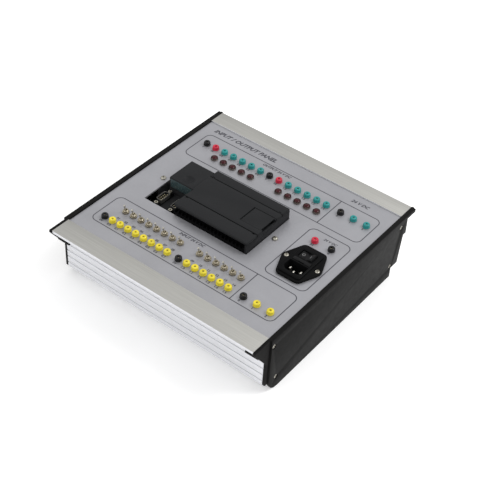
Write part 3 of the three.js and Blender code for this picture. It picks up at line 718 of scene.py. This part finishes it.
def build_lamps():
    radius = sizes().lamp_radius / MM
    bezel = [
        (3.9, 0.2), (radius + 0.1, 0.2), (radius + 0.1, 0.9), (radius - 0.1, 1.1), (radius - 0.1, 2.1),
        (radius - 0.15, 2.6), (radius - 0.3, 2.8), (4.0, 2.7), (3.9, 2.2), (3.9, 0.2),
    ]
    dome = [
        (0, 4.0), (1.1, 3.93), (2.2, 3.66), (3.0, 3.22), (3.5, 2.75), (3.78, 2.3), (3.82, 1.0),
        (2.4, 0.2), (2.4, -15.5), (0, -15.5),
    ]
    for i, x in enumerate(LAMPS):
        centre = (x, LAMP_Y, PANEL_Z)
        piece(f"lamp_bezel_{i + 1}", turned(bezel, 32, centre), finish("lamp bezel"))
        piece(f"lamp_lens_{i + 1}", turned(dome, 28, centre), finish("lamp lens"))


def board_shape(node, top):
    first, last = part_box(node)
    bm = block(first / MM, (last.x / MM, last.y / MM, top))
    return ease(bm, 0.25 * MM, 1)


def build_boards():
    top = PANEL_Z / MM - 15.5
    for node in ("input_board", "output_board", "power_socket_board"):
        bm = board_shape(node, top)
        piece(f"{node}_laminate", bm, finish("board laminate"), STATIC, [node])


# ------------------------------------------------------------------ toggle switches

def toggle_bush(x, y):
    thread = []
    z = 4.55
    while z > 2.3:
        thread += [(2.5, z), (2.28, z - 0.22)]
        z -= 0.44
    throat = [(1.15, 0.8), (1.5, 4.2), (1.75, 4.6), (2.3, 4.6)]
    outline = throat + thread + [(2.5, 0.2), (2.5, -6), (1.15, -6), (1.15, 0.8)]
    return turned(outline, 24, (x, y, PANEL_Z))


def toggle_nut(x, y):
    hexagon = corners_around(4.5, 6)
    bm = prism(hexagon, 0.3, 2.2)
    inner = corners_around(2.56, 24)
    bm = cut_with(bm, prism(inner, -1, 4))
    return moved(ease(bm, 0.28 * MM, 2, 35), (x, y, PANEL_Z))


def toggle_body(x, y):
    bm = block((-4.2, -4.5, -15.6), (4.2, 4.5, -5))
    return moved(ease(bm, 0.4 * MM), (x, y, PANEL_Z))


def build_toggle_mounts():
    nut = toggle_nut(0, 0)
    shapes = []
    for x, y, _ in TOGGLES:
        shapes.append(moved(nut.copy(), (x, y, 0)))
    nut.free()
    piece("toggle_nuts", gathered(shapes), finish("nut plating"))
    bushes = gathered([toggle_bush(x, y) for x, y, _ in TOGGLES])
    piece("toggle_bushes", bushes, finish("nut plating"))
    bodies = gathered([toggle_body(x, y) for x, y, _ in TOGGLES])
    piece("toggle_bodies", bodies, finish("terminal plastic"))


def build_levers():
    outline = [(0, -1.9), (0.6, -1.9), (0.78, -1.2), (0.86, 1.5), (1.0, 4.5), (1.24, 7.8), (1.34, 8.8),
               (1.26, 9.45), (0.95, 9.8), (0.45, 9.9), (0, 9.9)]
    for i, (x, y, z) in enumerate(TOGGLES):
        node = f"toggle_lever_{i + 1}"
        bm = turned(outline, 20)
        turned_about(bm, (0, 0, 0), math.radians(15), "X")
        moved(bm, (x, y, z))
        piece(f"toggle_bat_{i + 1}", bm, finish("lever chrome"), body_of(node), [node])


# ------------------------------------------------------------------ controller

CONTROLLER_PARTS = {
    "controller_base": ("controller_base_case", 0.35),
    "controller_face": ("controller_top_face", 0.4),
    "controller_side_block": ("controller_port_block", 0.55),
    "lower_terminal_cover": ("lower_cover_moulding", 0.45),
    "upper_terminal_cover": ("upper_cover_moulding", 0.45),
    "access_door": ("access_door_moulding", 0.35),
}


def build_controller():
    for node, (name, width) in CONTROLLER_PARTS.items():
        eased_copy(node, name, finish("controller plastic"), width * MM)
    for side in ("lower", "upper"):
        node = f"{side}_terminal_block"
        eased_copy(node, f"{side}_terminal_strip", finish("terminal plastic"), 0.15 * MM, 1)


def build_status_window():
    """The smoked window on the front of the port block, over its status lights."""
    first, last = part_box("controller_side_block")
    inset = 1.6 * MM
    bm = block(
        ((first.x + inset) / MM, first.y / MM - 0.35, (first.z + inset) / MM),
        ((last.x - inset) / MM, first.y / MM + 0.4, (last.z - inset) / MM))
    ease(bm, 0.25 * MM, 2)
    piece("status_window", bm, finish("smoked window"))


def build_terminal_screws():
    """One clamp screw behind each wire entry, under the lids."""
    for side, outward in (("lower", -1), ("upper", 1)):
        first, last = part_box(f"{side}_terminal_block")
        y = (first.y + last.y) / 2
        shapes = []
        for i in range(19):
            x = first.x + 3.7 * MM + i * 5.2 * MM
            outline = [(0, -0.2), (1.75, -0.2), (1.75, 0.5), (1.5, 0.8), (0.5, 0.85), (0, 0.85)]
            head = turned(outline, 16)
            slot = block((-1.9, -0.25, 0.35), (1.9, 0.25, 1.2))
            shapes.append(moved(cut_with(head, slot), (x, y - outward * 1.5 * MM, last.z)))
        piece(f"{side}_clamp_screws", gathered(shapes), finish("bright screw"))


def d_outline(half_width, wide, narrow, radius=1.4, steps=4):
    """The rounded D of a nine-way connector, wide side towards +X."""
    corners = [(-half_width, -narrow), (half_width, -wide), (half_width, wide), (-half_width, narrow)]
    points = []
    for i, corner in enumerate(corners):
        here = Vector(corner)
        before = (Vector(corners[i - 1]) - here).normalized()
        after = (Vector(corners[(i + 1) % 4]) - here).normalized()
        angle = before.angle(after)
        reach = radius / math.tan(angle / 2)
        start, end = here + before * reach, here + after * reach
        for step in range(steps + 1):
            t = step / steps
            point = start.lerp(here, t).lerp(here.lerp(end, t), t)
            points.append((point.x, point.y))
    return points


def build_ports():
    for index in (1, 2):
        node = f"comm_port_{index}"
        first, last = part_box(node)
        centre = Vector(((first.x + last.x) / 2, (first.y + last.y) / 2, first.z))
        flange = ease(prism(rounded(-4.6, -15.4, 4.6, 15.4, 1.6, 4), 0, 1), 0.2 * MM, 1)
        outside = prism(d_outline(3.95, 8.5, 7.7), 1.02, 6.6)
        inside = prism(d_outline(3.5, 8.05, 7.25), 1.6, 8)
        shell = moved(ease(cut_with(outside, inside), 0.12 * MM, 1, 40), centre)
        piece(f"{node}_shell", shell, finish("connector shell painted shade"), STATIC, [node])
        # Painted shade: the flange is given the black terminal plastic to stand in for the shadow it lies
        # in on the port block
        piece(f"{node}_flange", moved(flange, centre), finish("terminal plastic"))

        insert = ease(prism(d_outline(3.42, 7.97, 7.17), 1.1, 4.9), 0.15 * MM, 1)
        holes = []
        rim = [(0, 4.8), (0.5, 4.8), (0.5, 4.96), (0.3, 4.98), (0, 4.9)]
        for column, count in ((1.42, 5), (-1.42, 4)):
            for k in range(count):
                y = (k - (count - 1) / 2) * 2.77
                holes.append(turned(rim, 10, (column * MM, y * MM, 0)))
        piece(f"{node}_insert", moved(insert, centre), finish("terminal plastic"))
        contacts = moved(gathered(holes), centre)
        piece(f"{node}_contacts", contacts, finish("contact metal"))
        jacks = []
        for y in (-12.5, 12.5):
            nut = prism(corners_around(2.5, 6, 30), 1.02, 5.4)
            bore = turned([(0, 2), (1.3, 2), (1.3, 7), (0, 7)], 16)
            nut = ease(cut_with(nut, bore), 0.25 * MM, 2, 35)
            jacks.append(moved(nut, centre + Vector((0, y * MM, 0))))
        piece(f"{node}_jacks", gathered(jacks), finish("bright screw"))


def build_controls():
    """Selector and trimmers under the access door."""
    eased_copy("mode_switch", "mode_selector", finish("white plastic"), 0.25 * MM)
    for index in (1, 2):
        node = f"trim_pot_{index}"
        first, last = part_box(node)
        top = (last.z - first.z) / MM
        outline = [
            (0, 0), (1.9, 0), (1.9, top - 0.35), (1.7, top),
            (1.2, top), (1.1, top - 0.2), (0, top - 0.2),
        ]
        knob = cut_with(turned(outline, 24), block((-1.3, -0.3, top - 1), (1.3, 0.3, top + 1)))
        centre = Vector(((first.x + last.x) / 2, (first.y + last.y) / 2, first.z))
        knob = moved(knob, centre)
        piece(f"trimmer_{index}", knob, finish("white plastic"), body_of(node), [node])
    eased_copy("din_clip", "rail_clip", finish("terminal plastic"), 0.2 * MM)


def build_mounting():
    for node, name in (("mounting_bracket", "bracket_sheet"), ("din_rail", "mounting_rail"),
                       ("base_plate", "floor_plate"), ("power_supply", "supply_cage")):
        eased_copy(node, name, finish("sheet steel"), 0.15 * MM, 1)
    for index in (1, 2):
        node = f"panel_screw_{index}"
        first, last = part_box(node)
        centre = Vector(((first.x + last.x) / 2, (first.y + last.y) / 2, PANEL_Z + 0.3 * MM))
        head = cross_head(3.3, 2.1)
        shank = turned([(0, -9), (1.1, -9), (1.4, -8.4), (1.4, 0)], 14)
        bm = turned_about(gathered([head, shank]), (0, 0, 0), math.radians(24 * index), "Z")
        bm = moved(bm, centre)
        piece(f"panel_pan_head_{index}", bm, finish("bright screw"), STATIC, [node])
    dress("front_panel", finish("panel paint"))


# ------------------------------------------------------------------ mains inlet

def inlet_middle():
    first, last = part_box("inlet_body")
    return Vector(((first.x + last.x) / 2, (first.y + last.y) / 2, PANEL_Z))


def softened(points, radius, steps=5):
    """Rounds each corner of an outline."""
    result = []
    for i, corner in enumerate(points):
        here = Vector(corner)
        before, after = Vector(points[i - 1]), Vector(points[(i + 1) % len(points)])
        start = here + (before - here).normalized() * radius
        end = here + (after - here).normalized() * radius
        for step in range(steps + 1):
            t = step / steps
            point = start.lerp(here, t).lerp(here.lerp(end, t), t)
            result.append((point.x, point.y))
    return result


def build_inlet():
    middle = inlet_middle()
    wide = [(-15, -28.6), (15, -28.6), (26.6, 0), (15, 28.6), (-15, 28.6), (-26.6, 0)]
    flange = prism(softened(wide, 4.5), 0.3, 3.4)
    ease(flange, 0.9 * MM, 3, 40)
    dome = prism(rounded(-14.6, -25.5, 14.6, 23.5, 3.2, 5), 2.5, 5.5)
    ease(dome, 1.3 * MM, 3, 40)
    shell = prism(rounded(-13.5, -23.5, 13.5, 23.5, 1.5, 3), -20, 1)
    body = joined([flange, dome, shell])
    recess_corners = [
        (-8, -20.6), (8, -20.6), (12.2, -16.2), (12.2, -4.2), (-12.2, -4.2), (-12.2, -16.2),
    ]
    recess_outline = softened(recess_corners, 1.3, 3)
    body = cut_with(body, prism(recess_outline, -12, 8))
    body = cut_with(body, prism(rounded(-11.8, -2.6, 11.8, 3.4, 0.8, 3), -17, 8))
    body = cut_with(body, prism(rounded(-9.8, 5.0, 9.8, 17.8, 0.9, 3), -8.5, 8))
    for x in (-20.9, 20.9):
        body = cut_with(body, turned([(0, 1.8), (3.4, 1.8), (3.9, 8), (0, 8)], 28, (x * MM, 0.4 * MM, 0)))
    body = ease(body, 0.22 * MM, 2, 50)
    body = moved(body, middle)
    piece("inlet_moulding", body, finish("inlet plastic"), STATIC, ["inlet_body"])

    for word, x, y in (("line", -7, -10.8), ("neutral", 7, -10.8), ("earth", 0, -14.8)):
        node = f"inlet_pin_{word}"
        blade = ease(block((x - 1, y - 2, -29), (x + 1, y + 2, 0.9)), 0.55 * MM, 3, 40)
        piece(f"{word}_blade", moved(blade, middle), finish("pin metal"), STATIC, [node])

    for index, x in ((1, -20.9), (2, 20.9)):
        head = cross_head(3.0, 1.9)
        shank = turned([(0, -8.5), (0.8, -8.5), (1.1, -8), (1.1, 0)], 12)
        bm = turned_about(gathered([head, shank]), (0, 0, 0), math.radians(31 * index), "Z")
        place = middle + Vector((x * MM, 0.4 * MM, 2.0 * MM))
        node = f"inlet_screw_{index}"
        bm = moved(bm, place)
        piece(f"inlet_pan_head_{index}", bm, finish("bright screw"), STATIC, [node])


def joined(shapes):
    """Shapes fused into one skin."""
    whole = shapes[0]
    for shape in shapes[1:]:
        whole = fused(whole, shape)
    return whole


def fused(bm, other):
    pair = []
    for shape, word in ((bm, "first"), (other, "second")):
        mesh = bpy.data.meshes.new(word)
        shape.to_mesh(mesh)
        shape.free()
        obj = bpy.data.objects.new(word, mesh)
        bpy.context.scene.collection.objects.link(obj)
        pair.append(obj)
    boolean = pair[0].modifiers.new("fuse", "BOOLEAN")
    boolean.operation = "UNION"
    boolean.solver = "EXACT"
    boolean.object = pair[1]
    bpy.context.view_layer.update()
    result = pair[0].evaluated_get(bpy.context.evaluated_depsgraph_get()).to_mesh()
    out = bmesh.new()
    out.from_mesh(result)
    for obj in pair:
        mesh = obj.data
        bpy.data.objects.remove(obj)
        bpy.data.meshes.remove(mesh)
    return out


def build_rocker():
    middle = inlet_middle()
    pivot = middle + Vector((0, 11.4 * MM, 2 * MM))
    eased_copy("inlet_rocker", "rocker_moulding", finish("rocker plastic"), 0.45 * MM)
    tilt = math.radians(-10)
    bar = ease(block((4.6, -2.0, 0), (5.2, 2.0, 0.08)), 0.05 * MM, 1)
    ring = turned([(1.35, 0), (1.8, 0), (1.8, 0.08), (1.35, 0.08), (1.35, 0)], 28, (-4.9 * MM, 0, 0))
    marks = []
    for shape, side in ((bar, 1), (ring, -1)):
        slope = math.atan2(9.2 * math.sin(math.radians(28)) - 2, 9.2 * math.cos(math.radians(28)))
        turned_about(shape, (0, 0, 0), -side * slope, "Y")
        moved(shape, (0, 0, 2.02 * MM))
        turned_about(shape, (0, 0, 0), tilt, "Y")
        marks.append(moved(shape, pivot))
    piece("rocker_marks", gathered(marks), finish("white ink"), body_of("inlet_rocker"))

    eased_copy("fuse_drawer", "fuse_drawer_moulding", finish("rocker plastic"), 0.3 * MM)
    first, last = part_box("fuse")
    centre = (first + last) / 2
    half_length = (last.x - first.x) / MM / 2
    glass = half_length - 4.5
    tube = turned([(0, -glass), (2.05, -glass), (2.05, glass), (0, glass)], 24)
    caps = []
    for side in (-1, 1):
        end = side * half_length
        rim = side * (half_length - 5)
        caps.append(turned([(0, end), (1.9, end), (2.2, end - side * 0.3), (2.2, rim), (0, rim)], 24))
    for name, bm, word, slot in (("fuse_tube", tube, "fuse glass", "fuse_glass"),
                                 ("fuse_caps", gathered(caps), "pin metal", "pin_metal")):
        turned_about(bm, (0, 0, 0), math.pi / 2, "Y")
        piece(name, moved(bm, centre), finish(word), body_of("fuse"), ["fuse"])


# ------------------------------------------------------------------ stage

FOCAL_LENGTH = 81.82
SENSOR_WIDTH = 36
CAMERA_PLACE = (0.57928, -0.79672, 0.91785)
CAMERA_ROWS = ((0.7902193152830017, 0.6105356271604296, 0.052912018686536666),
               (0.44017945252027396, -0.5054069774789258, -0.7421629448406653),
               (-0.426374815546856, 0.609762277517589, -0.6681275937902484))


def build_stage():
    bm = bmesh.new()
    bmesh.ops.create_grid(bm, x_segments=2, y_segments=2, size=6)
    mesh = bpy.data.meshes.new("studio_floor")
    bm.to_mesh(mesh)
    bm.free()
    floor = bpy.data.objects.new("studio_floor", mesh)
    floor.data.materials.append(finish("studio floor"))
    bpy.context.scene.collection.objects.link(floor)

    world = bpy.data.worlds.new("studio")
    world.use_nodes = True
    backdrop = world.node_tree.nodes["Background"]
    backdrop.inputs["Strength"].default_value = 1.0
    nodes, links = world.node_tree.nodes, world.node_tree.links
    direction = nodes.new("ShaderNodeTexCoord").outputs["Generated"]
    split = nodes.new("ShaderNodeSeparateXYZ")
    ramp = nodes.new("ShaderNodeValToRGB")
    stops = ((0.0, 0.55), (0.12, 0.25), (0.5, 1.1), (1.0, 0.85))
    for position, level in stops[1:3]:
        ramp.color_ramp.elements.new(position).color = (level, level, level, 1)
    for end in (0, -1):
        level = stops[end][1]
        ramp.color_ramp.elements[end].color = (level, level, level, 1)
    links.new(direction, split.inputs["Vector"])
    links.new(split.outputs["Z"], ramp.inputs["Fac"])
    links.new(ramp.outputs["Color"], backdrop.inputs["Color"])
    bpy.context.scene.world = world
    bpy.context.scene.view_settings.view_transform = "Standard"

    for name, place, size, power in (
            ("key", (1.25, 1.0, 1.9), 1.0, 24), ("front", (-0.9, -1.7, 0.5), 1.4, 9)):
        data = bpy.data.lights.new(name, "AREA")
        data.size = size
        data.energy = power
        lamp = bpy.data.objects.new(name, data)
        lamp.location = place
        aim = Vector((0, 0, 0.05)) - Vector(place)
        lamp.rotation_euler = aim.to_track_quat("-Z", "Y").to_euler()
        bpy.context.scene.collection.objects.link(lamp)

    data = bpy.data.cameras.new("camera")
    data.lens = FOCAL_LENGTH
    data.sensor_width = SENSOR_WIDTH
    camera = bpy.data.objects.new("camera", data)
    right, down, ahead = (Vector(row) for row in CAMERA_ROWS)
    turn = Matrix((right, -down, -ahead)).transposed()
    camera.matrix_world = Matrix.Translation(CAMERA_PLACE) @ turn.to_4x4()
    bpy.context.scene.collection.objects.link(camera)
    bpy.context.scene.camera = camera


# ------------------------------------------------------------------ operators

class CONSOLE_OT_stage(bpy.types.Operator):
    """Build the floor, the lights and the camera"""
    bl_idname = "console.stage"
    bl_label = "Stage"

    def execute(self, context):
        build_stage()
        return {"FINISHED"}


class CONSOLE_OT_rails(bpy.types.Operator):
    """Build the two rails of the case"""
    bl_idname = "console.rails"
    bl_label = "Rails"

    def execute(self, context):
        build_rails()
        return {"FINISHED"}


class CONSOLE_OT_covers(bpy.types.Operator):
    """Build the end covers and their screws"""
    bl_idname = "console.covers"
    bl_label = "End covers"

    def execute(self, context):
        build_covers()
        build_cover_screws()
        return {"FINISHED"}


class CONSOLE_OT_mounting(bpy.types.Operator):
    """Finish the panel, its screws and the sheet parts"""
    bl_idname = "console.mounting"
    bl_label = "Panel and mounting"

    def execute(self, context):
        build_mounting()
        return {"FINISHED"}


class CONSOLE_OT_print(bpy.types.Operator):
    """Print the outlines and numerals"""
    bl_idname = "console.print"
    bl_label = "Panel print"

    def execute(self, context):
        build_print()
        return {"FINISHED"}


class CONSOLE_OT_boards(bpy.types.Operator):
    """Build the circuit boards"""
    bl_idname = "console.boards"
    bl_label = "Boards"

    def execute(self, context):
        build_boards()
        return {"FINISHED"}


class CONSOLE_OT_sockets(bpy.types.Operator):
    """Build the sockets and their contacts"""
    bl_idname = "console.sockets"
    bl_label = "Sockets"

    def execute(self, context):
        build_sockets()
        return {"FINISHED"}


class CONSOLE_OT_lamps(bpy.types.Operator):
    """Build the lamps"""
    bl_idname = "console.lamps"
    bl_label = "Lamps"

    def execute(self, context):
        build_lamps()
        return {"FINISHED"}


class CONSOLE_OT_toggles(bpy.types.Operator):
    """Build the switch bodies, nuts and levers"""
    bl_idname = "console.toggles"
    bl_label = "Toggle switches"

    def execute(self, context):
        build_toggle_mounts()
        build_levers()
        return {"FINISHED"}


class CONSOLE_OT_controller(bpy.types.Operator):
    """Build the controller, its lids, its terminals and its controls"""
    bl_idname = "console.controller"
    bl_label = "Controller"

    def execute(self, context):
        build_controller()
        build_status_window()
        build_terminal_screws()
        build_controls()
        return {"FINISHED"}


class CONSOLE_OT_ports(bpy.types.Operator):
    """Build the two nine-way ports"""
    bl_idname = "console.ports"
    bl_label = "Ports"

    def execute(self, context):
        build_ports()
        return {"FINISHED"}


class CONSOLE_OT_inlet(bpy.types.Operator):
    """Build the inlet, its rocker and its fuse drawer"""
    bl_idname = "console.inlet"
    bl_label = "Mains inlet"

    def execute(self, context):
        build_inlet()
        build_rocker()
        return {"FINISHED"}


OPERATORS = [
    CONSOLE_OT_stage,
    CONSOLE_OT_rails,
    CONSOLE_OT_covers,
    CONSOLE_OT_mounting,
    CONSOLE_OT_print,
    CONSOLE_OT_boards,
    CONSOLE_OT_sockets,
    CONSOLE_OT_lamps,
    CONSOLE_OT_toggles,
    CONSOLE_OT_controller,
    CONSOLE_OT_ports,
    CONSOLE_OT_inlet,
]


class CONSOLE_PT_builder(bpy.types.Panel):
    bl_label = "Training console"
    bl_idname = "CONSOLE_PT_builder"
    bl_space_type = "VIEW_3D"
    bl_region_type = "UI"
    bl_category = "Console"

    def draw(self, context):
        for step in OPERATORS:
            self.layout.operator(step.bl_idname)
        for group in (sizes(), colours()):
            for name in group.bl_rna.properties.keys():
                if name not in ("rna_type", "name"):
                    self.layout.prop(group, name)


CLASSES = [ConsoleSizes, ConsoleColours, *OPERATORS, CONSOLE_PT_builder]


def register():
    for cls in CLASSES:
        bpy.utils.register_class(cls)
    bpy.types.Scene.console_sizes = bpy.props.PointerProperty(type=ConsoleSizes)
    bpy.types.Scene.console_colours = bpy.props.PointerProperty(type=ConsoleColours)


def unregister():
    del bpy.types.Scene.console_sizes
    del bpy.types.Scene.console_colours
    for cls in reversed(CLASSES):
        bpy.utils.unregister_class(cls)


def main():
    register()
    bpy.ops.console.stage()
    bpy.ops.console.rails()
    bpy.ops.console.covers()
    bpy.ops.console.mounting()
    bpy.ops.console.print()
    bpy.ops.console.boards()
    bpy.ops.console.sockets()
    bpy.ops.console.lamps()
    bpy.ops.console.toggles()
    bpy.ops.console.controller()
    bpy.ops.console.ports()
    bpy.ops.console.inlet()


if __name__ == "__main__":
    main()
